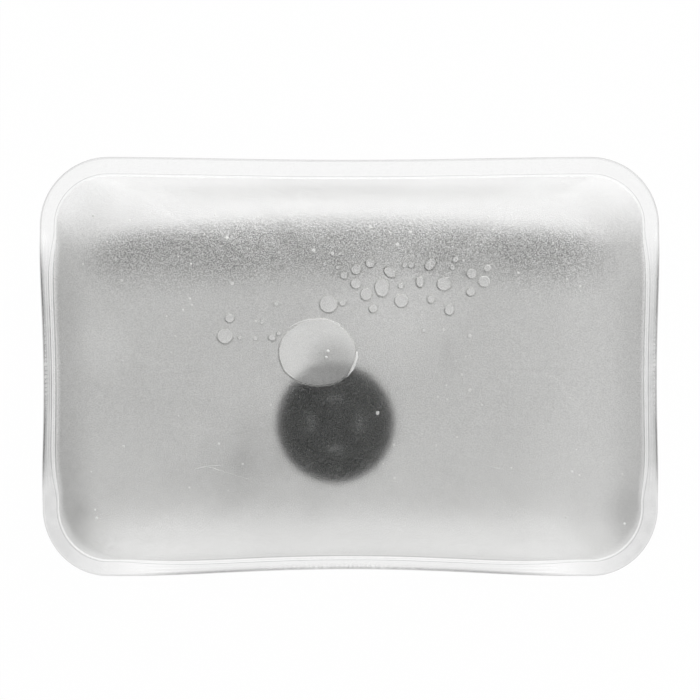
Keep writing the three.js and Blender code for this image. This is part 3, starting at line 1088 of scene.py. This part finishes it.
def speckled(shader, axes, tint, share=1.0):
    """Tint less what the emboss holds back; the extra hold in the far streak is painted shade.
    """
    film = settings().film
    speckle = ramp(shader, emboss(shader), *SPECKLE_RISE)
    far = shader.maths("MULTIPLY", painted_shade_streak(shader, axes), film.streak_grain_shade)
    upper = shader.product(
        ramp(shader, axes[1], *GRAIN_START, 0.0, film.grain_shade),
        ramp(shader, axes[1], *FAR_BRIGHT, 1.0, 0.5))
    held = shader.product(speckle, shader.maths("ADD", far, upper), share)
    passed = shader.maths("SUBTRACT", 1.0, held)
    scaled = shader.node("VectorMath", operation="SCALE")
    shader.link(tint, scaled.inputs[0])
    shader.link(shader.maths("MULTIPLY", passed, passed), scaled.inputs["Scale"])
    return scaled.outputs[0]


def liquid(name, blur, index, jitter=0.0):
    """Clear liquid that lets lamp light through: its shader, and the socket of its tint.

    With a jitter it has the emboss's grain on its level part and blurs more at its steep sides.
    """
    solution = settings().solution
    shader = Shader(name)
    grain = emboss(shader)
    body = shader.node("BsdfPrincipled", Roughness=blur, IOR=index)
    body.inputs["Transmission Weight"].default_value = 1.0
    if jitter:
        up = place_axes(shader)[2]
        grain = shader.maths("MULTIPLY", grain, ramp(shader, up, *LEVEL_RISE))
        blurred = ramp(shader, up, *LEVEL_RISE, solution.steep_blur, blur)
        shader.link(blurred, body.inputs["Roughness"])
    normal = shader.bump(grain, settings().film.grain_depth * (jitter or PLAIN_JITTER))
    shader.link(normal, body.inputs["Normal"])
    clear = shader.coloured(
        "BsdfTransparent", [math.sqrt(part) for part in solution.shadow_tint])
    path = shader.node("LightPath")
    shader.finish(shader.mix_shaders(
        path.outputs["Is Shadow Ray"], body.outputs[0], clear))
    return shader, body.inputs["Base Color"]


def solution_material(name, grained):
    """Solution: clouds, painted light and shade, and under the upper film its emboss grain."""
    solution = settings().solution
    blur, jitter = solution.steep_blur, 0.0
    if grained:
        blur, jitter = solution.blur, solution.jitter
    shader, tint_socket = liquid(name, blur, solution.index, jitter)
    axes = place_axes(shader)
    tint = solution_tint(shader, axes)
    if grained:
        tint = speckled(shader, axes, tint)
    shader.link(tint, tint_socket)
    return shader.material


def large_room_material():
    """Face of the solution under the large bubble, with the disc's bent image painted in."""
    bubbles = settings().bubbles
    shader, tint_socket = liquid(
        "solution under the large bubble", bubbles.room_blur, bubbles.room_index)
    axes = place_axes(shader)
    # A dark patch painted into the tint stands in for the disc's image that the bubble bends.
    pixel_x, pixel_y, radius = BENT_IMAGE
    away = distance_from(shader, in_plan(shader, axes), pixel_x, pixel_y)
    bent = ramp(shader, away, radius * PIXEL, BENT_CORE * radius * PIXEL)
    tint = shader.mix_colours(bent, bubbles.room_tint, bubbles.bent_tint)
    shader.link(speckled(shader, axes, tint, LARGE_ROOM_GRAIN), tint_socket)
    return shader.material


def small_room_material():
    """Face of the solution under a small bubble."""
    bubbles = settings().bubbles
    shader, tint_socket = liquid(
        "solution under a small bubble", bubbles.room_blur, bubbles.room_index)
    plain = shader.node("RGB")
    plain.outputs[0].default_value = grey(bubbles.small_room_tint)
    shader.link(speckled(shader, place_axes(shader), plain.outputs[0]), tint_socket)
    return shader.material


def dry_film_material(name, milkiness):
    """Dry embossed film over air, which scatters some light."""
    bubbles = settings().bubbles
    shader = Shader(name)
    clear = clear_tint(shader, CLEAR, bubbles.edge_tint, BUBBLE_POWER)
    milk = shader.coloured("BsdfDiffuse", bubbles.milk)
    limits = (milkiness * (1 - MILK_CHANGE), milkiness * (1 + MILK_CHANGE))
    share = ramp(shader, emboss(shader), *NOISE_RISE, *limits, "LINEAR")
    return shader.finish(shader.mix_shaders(share, clear, milk))


def bubble_floor_material():
    """Face between the air of a bubble and the solution under it."""
    shader = Shader("bubble floor")
    normal = shader.bump(emboss(shader), settings().film.grain_depth * FLOOR_JITTER)
    clear = clear_tint(shader, CLEAR, settings().bubbles.edge_tint, BUBBLE_POWER)
    factor = sheen_factor(shader, BUBBLE_SHEEN, normal)
    return glossed(shader, clear, FLOOR_ROUGHNESS, factor)


def meniscus_material():
    """Bubble rim: painted light on the far softbox's side, painted shade on the other."""
    bubbles = settings().bubbles
    shader = Shader("meniscus")
    side = shader.node("VectorMath", operation="DOT_PRODUCT")
    shader.link(shader.node("NewGeometry").outputs["Normal"], side.inputs[0])
    side.inputs[1].default_value = LIT_WAY
    facing = side.outputs["Value"]
    share = shader.product(
        ramp(shader, facing, *LIT_SIDE, bubbles.rim_milkiness, bubbles.glint),
        ramp(shader, facing, *SHADED_SIDE, 1.0, 0.1))
    shaded = ramp(shader, facing, *SHADED_SIDE)
    clear = shader.node("BsdfTransparent")
    tint = shader.mix_colours(shaded, bubbles.edge_tint, bubbles.rim_tint)
    shader.link(tint, clear.inputs["Color"])
    milk = shader.coloured("BsdfDiffuse", bubbles.milk)
    return shader.finish(shader.mix_shaders(share, clear.outputs[0], milk))


def steel_material():
    """Spring steel with fine lines along the way it was rolled, and faint stains."""
    disc = settings().disc
    shader = Shader("rolled spring steel")
    lines = shader.noise(LINES, detail=3.0, stretch=LINE_STRETCH)
    stains = shader.noise(STAINS, detail=3.0)
    body = shader.node("BsdfPrincipled", Metallic=1.0)
    limits = (disc.roughness - LINE_ROUGHNESS, disc.roughness + LINE_ROUGHNESS)
    shader.link(ramp(shader, lines, *NOISE_RISE, *limits), body.inputs["Roughness"])
    shader.link(shader.bump(lines, LINE_DEPTH), body.inputs["Normal"])
    # The dark steel colour is painted shade for the dark surroundings that the disc reflects.
    darker, lighter = ([part * share for part in disc.steel] for share in STAINED)
    stained = shader.mix_colours(ramp(shader, stains, *NOISE_RISE), darker, lighter)
    shader.link(stained, body.inputs["Base Color"])
    return shader.finish(body.outputs[0])


def dress(piece, finishes, body, slot, *nodes):
    """Gives a piece its finishes and body and hides the nodes it stands for; slot is unused."""
    for finish in finishes:
        piece.data.materials.append(finish)
    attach(piece, body)
    if nodes:
        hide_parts(*nodes)


def film_piece(name, form, wall):
    """One film: its dome, the bead and the pressed weld, the cut edge and the inner face."""
    film, side = form.film, wall[0]
    crest, pressed = film + BEAD_RISE, film - PRESSED_IN
    rim = [(outward, crest * share) for outward, share in BEAD]
    rim += [(outward, pressed * share) for outward, share in BEAD_FOOT]
    ribs_start = BEAD_FOOT[-1][0]
    for step in range(1, RIB_STEPS + 1):
        share = step / RIB_STEPS
        rib = math.sin(RIBS * math.pi * share) ** 2 * RIB_HEIGHT
        rim.append((ribs_start + (RIBS_END - ribs_start) * share, pressed + rib))
    rim += [(outward, pressed * share) for outward, share in CUT_EDGE]
    dome = wall_distances(form, *OUTER_RINGS)[::-1]
    rings = form.wall_rings(wall, -film, dome)
    rings += [form.rim_ring(outward * MM, side * above) for outward, above in rim]
    breaks = (len(dome), len(rings) - len(CUT_EDGE), len(rings) - 1)
    rings.append(form.rim_ring(0, 0))
    rings += form.wall_rings(wall, 0, wall_distances(form, *INNER_RINGS))
    return lofted(
        name, form.middle(wall, -film), rings, form.middle(wall, 0), side, breaks)


class WARMER_OT_films(bpy.types.Operator):
    """Make the two welded films"""

    bl_idname = "warmer.films"
    bl_label = "Films"

    def execute(self, context):
        form = PouchForm(settings().pouch)
        finishes = (film_material(), weld_material(), edge_material(), wet_film_material())
        front = film_piece("upper_film", form, form.front)
        back = film_piece("under_film", form, form.back)
        dress(front, finishes, POUCH, "clear_film", "front_film")
        dress(back, finishes, POUCH, "clear_film", "back_film")
        return {"FINISHED"}


def air_bubble(form, spot, grow):
    """Points and faces of one bubble: flat against the film, a round shoulder, a deep bowl."""
    bubbles = settings().bubbles
    pixel_x, pixel_y, half_width, half_height, *lean = spot
    lean = math.radians(lean[0]) if lean else 0
    x, y = place_of(pixel_x, pixel_y)
    across, down = half_width * PIXEL + grow, half_height * PIXEL + grow
    least = min(across, down)
    shoulder = min(bubbles.shoulder, SHOULDER_SHARE * least)
    depth = min(bubbles.depth, bubbles.small_depth * least) + grow
    turns = bubbles.turns
    if least < HALF_SEGMENTS:
        turns = turns // 2 if least > QUARTER_SEGMENTS else turns // 4
    flat = 1 - shoulder / least
    profile = [(flat * step / FLAT_STEPS, 0) for step in range(1, FLAT_STEPS + 1)]
    for step in range(1, SHOULDER_STEPS + 1):
        angle = math.pi / 2 * step / SHOULDER_STEPS
        profile.append((flat + (1 - flat) * math.sin(angle), shoulder * (1 - math.cos(angle))))
    for step in range(1, BOWL_STEPS):
        angle = math.pi / 2 * step / BOWL_STEPS
        profile.append((math.cos(angle), shoulder + (depth - shoulder) * math.sin(angle)))
    gap = settings().solution.clearance + BUBBLE_GAP - grow

    def point(share, angle, low):
        """Point at a share of the radius, an angle round the bubble and a depth."""
        waver = 1
        for (waves, height), start in zip(BUBBLE_WAVES, (pixel_x, pixel_y)):
            waver += height * math.sin(waves * angle + start)
        waves, height = NEAR_WAVES
        waver += height * math.sin(waves * angle + pixel_x) * max(0, -math.sin(angle))
        aside = across * share * waver * math.cos(angle)
        along = down * share * waver * math.sin(angle)
        place_x = x + aside * math.cos(lean) - along * math.sin(lean)
        place_y = y + aside * math.sin(lean) + along * math.cos(lean)
        return (place_x, place_y, form.height_at(place_x, place_y, gap + low))

    points = [point(0, 0, 0)]
    for share, low in profile:
        for turn in range(turns):
            points.append(point(share, 2 * math.pi * turn / turns, low))
    points.append(point(0, 0, depth))
    finishes = [0] * FLAT_STEPS + [1] * SHOULDER_STEPS + [2] * BOWL_STEPS
    return points, closed_faces(len(profile), turns), finishes * turns


def joined_bubbles(name, form, spots, grow):
    """One closed mesh for each bubble, all in one object."""
    points, faces, finishes = [], [], []
    for spot in spots:
        more, sides, kinds = air_bubble(form, spot, grow)
        start = len(points)
        points += more
        faces += [tuple(start + corner for corner in side) for side in sides]
        finishes += kinds
    return new_piece(name, points, faces, finishes)


def speck_spots():
    """Tiny bright specks strewn under the film beside the disc, thicker in its far half."""
    draw = random.Random(11)
    disc_x, disc_y = (DISC_LOW[0] + DISC_HIGH[0]) / 2, (DISC_LOW[1] + DISC_HIGH[1]) / 2
    disc_radius = (DISC_HIGH[0] - DISC_LOW[0]) / 2
    spots = []
    while len(spots) < settings().bubbles.specks:
        pixel_x = draw.uniform(*SPECKS_ACROSS)
        first, reach, power = SPECKS_DOWN
        pixel_y = first + reach * draw.random() ** power
        radius = draw.uniform(*SPECK_RADII)
        clear_of_bubbles = all(
            math.hypot(pixel_x - x, pixel_y - y) > max(width, height) + radius + SPECK_GAP
            for x, y, width, height, *_ in (LARGE_BUBBLE, *BUBBLES, *spots))
        x, y = place_of(pixel_x, pixel_y)
        if clear_of_bubbles and math.hypot(x - disc_x, y - disc_y) > disc_radius:
            spots.append((pixel_x, pixel_y, radius, radius))
    return spots


def fine_lines(name, form, lines):
    """Thin closed tubes half sunk in the film's outer face, tapering at both ends."""
    gap = -form.film
    points, faces = [], []
    sides = LINE_SIDES
    for radius, route in lines:
        places = [place_of(*pixel) for pixel in route]
        start = len(points)
        last = len(places) - 1
        for index, (x, y) in enumerate(places):
            before = places[max(index - 1, 0)]
            after = places[min(index + 1, last)]
            way = Vector((after[0] - before[0], after[1] - before[1])).normalized()
            thick = radius * MM * (LINE_TAPER if index in (0, last) else 1)
            height = form.height_at(x, y, gap)
            for side in range(sides):
                angle = 2 * math.pi * side / sides
                aside = thick * math.cos(angle)
                points.append((x - way.y * aside, y + way.x * aside,
                               height + thick * math.sin(angle)))
        for index in range(last):
            lower = start + index * sides
            for side in range(sides):
                after = (side + 1) % sides
                faces.append((lower + side, lower + after,
                              lower + sides + after, lower + sides + side))
        faces.append(tuple(start + side for side in reversed(range(sides))))
        faces.append(tuple(start + last * sides + side for side in range(sides)))
    return new_piece(name, points, faces)


def cut_rooms(fill, form):
    """Cuts a room for each bubble into the solution."""
    spots = (LARGE_BUBBLE, *BUBBLES, *speck_spots())
    cutter = joined_bubbles("rooms", form, spots, ROOM_GROWTH)
    large = len(air_bubble(form, LARGE_BUBBLE, ROOM_GROWTH)[1])
    rooms = [2] * large + [3] * (len(cutter.data.polygons) - large)
    cutter.data.polygons.foreach_set("material_index", rooms)
    cut = fill.modifiers.new("rooms", "BOOLEAN")
    cut.object = cutter
    cut.operation = "DIFFERENCE"
    cut.solver = "MANIFOLD"
    graph = bpy.context.evaluated_depsgraph_get()
    result = bpy.data.meshes.new_from_object(fill.evaluated_get(graph))
    fill.modifiers.clear()
    fill.data = result
    bpy.data.objects.remove(cutter)
    result.shade_smooth()
    result.set_sharp_from_angle(angle=SHARP_ANGLE)


class WARMER_OT_solution(bpy.types.Operator):
    """Make the solution that fills the pouch, with rooms for its air bubbles"""

    bl_idname = "warmer.solution"
    bl_label = "Solution"

    def execute(self, context):
        form = PouchForm(settings().pouch)
        gap = settings().solution.clearance
        distances = wall_distances(form, *FILL_RINGS)
        rings = form.wall_rings(form.front, gap, distances[::-1])
        breaks = (len(rings) - 1,)
        rings += form.wall_rings(form.back, gap, distances)
        fill = lofted(
            "salt_solution", form.middle(form.front, gap), rings,
            form.middle(form.back, gap), 1, breaks)
        finishes = (
            solution_material("solution under the upper film", True),
            solution_material("solution over the under film", False),
            large_room_material(),
            small_room_material(),
        )
        dress(fill, finishes, POUCH, "salt_solution", "solution")
        cut_rooms(fill, form)
        return {"FINISHED"}


class WARMER_OT_bubbles(bpy.types.Operator):
    """Make the air bubbles under the upper film"""

    bl_idname = "warmer.bubbles"
    bl_label = "Air bubbles"

    def execute(self, context):
        form = PouchForm(settings().pouch)
        bubbles = settings().bubbles
        dry = dry_film_material("dry film over air", bubbles.milkiness)
        bright = dry_film_material("bright specks", SPECK_MILK)
        scratched = dry_film_material("scratched film", SCRATCH_MILK)
        small_dry = dry_film_material("dry film over small bubbles", bubbles.small_milkiness)
        meniscus = meniscus_material()
        floor = bubble_floor_material()
        small = [spot for spot in BUBBLES if spot[2] >= TINY]
        tiny = [spot for spot in BUBBLES if spot[2] < TINY]
        groups = (
            ("large_air_bubble", (LARGE_BUBBLE,), (dry, meniscus, floor)),
            ("small_air_bubbles", small, (small_dry, meniscus, floor)),
            ("specks", [*tiny, *speck_spots()], (bright, bright, floor)),
        )
        for name, spots, finishes in groups:
            dress(joined_bubbles(name, form, spots, 0), finishes, POUCH, "clear_film")
        # The highlight lines are bright tubes that paint highlights along the large bubble's
        # rim.
        marks = (
            ("droplets", DROPLETS, bright), ("scratches", SCRATCHES, scratched),
            ("highlight_lines", HIGHLIGHT_LINES, bright),
        )
        for name, lines, finish in marks:
            dress(fine_lines(name, form, lines), (finish,), POUCH, "clear_film")
        return {"FINISHED"}


class WARMER_OT_disc(bpy.types.Operator):
    """Finish the clicker disc"""

    bl_idname = "warmer.disc"
    bl_label = "Clicker disc"

    def execute(self, context):
        steel = steel_material()
        for material_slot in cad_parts["clicker_disc"].material_slots:
            material_slot.material = steel
        return {"FINISHED"}


def light_path_factor(shader, names):
    """One for the rays that the names tell of, none for others."""
    path = shader.node("LightPath")
    factor = path.outputs[names[0]]
    for name in names[1:]:
        factor = shader.maths("MAXIMUM", factor, path.outputs[name])
    return factor


def floor_material():
    """Pale floor that glows a little to what looks at it, so that it stays plain."""
    stage = settings().stage
    shader = Shader("pale floor")
    plain = shader.coloured("BsdfDiffuse", stage.floor)
    glow = shader.node("Emission", Strength=1.0)
    seen = shader.maths(
        "MULTIPLY", light_path_factor(shader, SEEN_RAYS[:2]), stage.floor_glow)
    through = shader.maths(
        "MULTIPLY", light_path_factor(shader, SEEN_RAYS[2:]), stage.floor_glow_through)
    factor = shader.maths("MAXIMUM", seen, through)
    return shader.finish(shader.mix_shaders(factor, plain, glow.outputs[0]))


def softbox(name, power, place, width, height):
    """Rectangular lamp at a place, turned towards the pouch."""
    data = bpy.data.lights.new(name, "AREA")
    data.shape = "RECTANGLE"
    data.size = width
    data.size_y = height
    data.energy = power
    lamp = bpy.data.objects.new(name, data)
    lamp.location = place
    way = Vector((0, 0, 0)) - Vector(place)
    lamp.rotation_euler = way.to_track_quat("-Z", "Y").to_euler()
    bpy.context.collection.objects.link(lamp)


def make_world():
    """Even light, and for what looks at it a white room with a darker ceiling and ends."""
    stage = settings().stage
    world = bpy.data.worlds.new("studio")
    bpy.context.scene.world = world
    world.use_nodes = True
    shader = Shader(world)
    _, along, up = place_axes(shader, "Generated")
    ceiling = ramp(shader, up, *CEILING_RISE)
    ends = ramp(shader, shader.maths("ABSOLUTE", along), *ROOM_ENDS)
    path = shader.node("LightPath")
    ends = shader.maths("MULTIPLY", ends, path.outputs["Is Glossy Ray"])
    dark = shader.maths("MAXIMUM", ceiling, ends)
    unseen = shader.maths("SUBTRACT", 1.0, path.outputs["Is Camera Ray"])
    dark = shader.maths("MULTIPLY", dark, unseen)
    level = shader.maths("MULTIPLY", dark, stage.ceiling - 1)
    level = shader.maths("ADD", level, 1.0)
    seen = shader.node("Background")
    shader.link(level, seen.inputs["Strength"])
    seen.inputs["Color"].default_value = grey(WHITE)
    even = shader.coloured("Background", WHITE, Strength=stage.ambient)
    factor = light_path_factor(shader, SEEN_RAYS)
    shader.finish(shader.mix_shaders(factor, even, seen.outputs[0]))


def make_floor():
    """Wide level floor, a hair under the pouch."""
    mesh = bpy.data.meshes.new("floor")
    corners = [(x * FLOOR_REACH, y * FLOOR_REACH, FLOOR_HEIGHT)
               for x, y in ((-1, -1), (1, -1), (1, 1), (-1, 1))]
    mesh.from_pydata(corners, [], [(0, 1, 2, 3)])
    floor = bpy.data.objects.new("floor", mesh)
    bpy.context.collection.objects.link(floor)
    mesh.materials.append(floor_material())


def make_camera():
    """Camera straight above the pouch that sees what the photograph shows."""
    stage = settings().stage
    scene = bpy.context.scene
    data = bpy.data.cameras.new("camera")
    camera = bpy.data.objects.new("camera", data)
    bpy.context.collection.objects.link(camera)
    middle = PHOTO_PIXELS / 2
    camera.location = (*place_of(middle, middle), stage.camera_height)
    data.sensor_width = stage.sensor_width
    distance = stage.camera_height - settings().pouch.seam_height
    data.lens = stage.sensor_width * distance / (PHOTO_PIXELS * PIXEL)
    data.clip_end = 20
    scene.camera = camera
    scene.view_settings.view_transform = "Standard"


class WARMER_OT_stage(bpy.types.Operator):
    """Make the floor, the lights and the camera"""

    bl_idname = "warmer.stage"
    bl_label = "Stage"

    def execute(self, context):
        stage = settings().stage
        make_floor()
        softbox("far_softbox", stage.key_power, *FAR_SOFTBOX)
        softbox("near_softbox", stage.fill_power, *NEAR_SOFTBOX)
        make_world()
        make_camera()
        return {"FINISHED"}


class WARMER_PT_panel(bpy.types.Panel):
    """The hand warmer's settings and steps"""

    bl_idname = "WARMER_PT_panel"
    bl_label = "Hand warmer"
    bl_space_type = "VIEW_3D"
    bl_region_type = "UI"
    bl_category = "Hand warmer"

    def draw(self, context):
        everything = context.scene.hand_warmer
        for group in ("pouch", "film", "solution", "bubbles", "disc", "stage"):
            box = self.layout.box()
            values = getattr(everything, group)
            for name in values.__annotations__:
                box.prop(values, name)
        for operator in OPERATORS:
            self.layout.operator(operator.bl_idname)


GROUPS = (
    PouchSettings, FilmSettings, SolutionSettings, BubbleSettings, DiscSettings,
    StageSettings, WarmerSettings,
)
OPERATORS = (
    WARMER_OT_films, WARMER_OT_solution, WARMER_OT_bubbles, WARMER_OT_disc,
    WARMER_OT_stage,
)
CLASSES = (*GROUPS, *OPERATORS, WARMER_PT_panel)


def register():
    """Adds the hand warmer's classes and settings to Blender."""
    for made in CLASSES:
        bpy.utils.register_class(made)
    bpy.types.Scene.hand_warmer = PointerProperty(type=WarmerSettings)


def unregister():
    """Takes them out again."""
    del bpy.types.Scene.hand_warmer
    for made in reversed(CLASSES):
        bpy.utils.unregister_class(made)


def main():
    """Dresses the frame step by step."""
    register()
    bpy.ops.warmer.films()
    bpy.ops.warmer.solution()
    bpy.ops.warmer.bubbles()
    bpy.ops.warmer.disc()
    bpy.ops.warmer.stage()


if __name__ == "__main__":
    main()
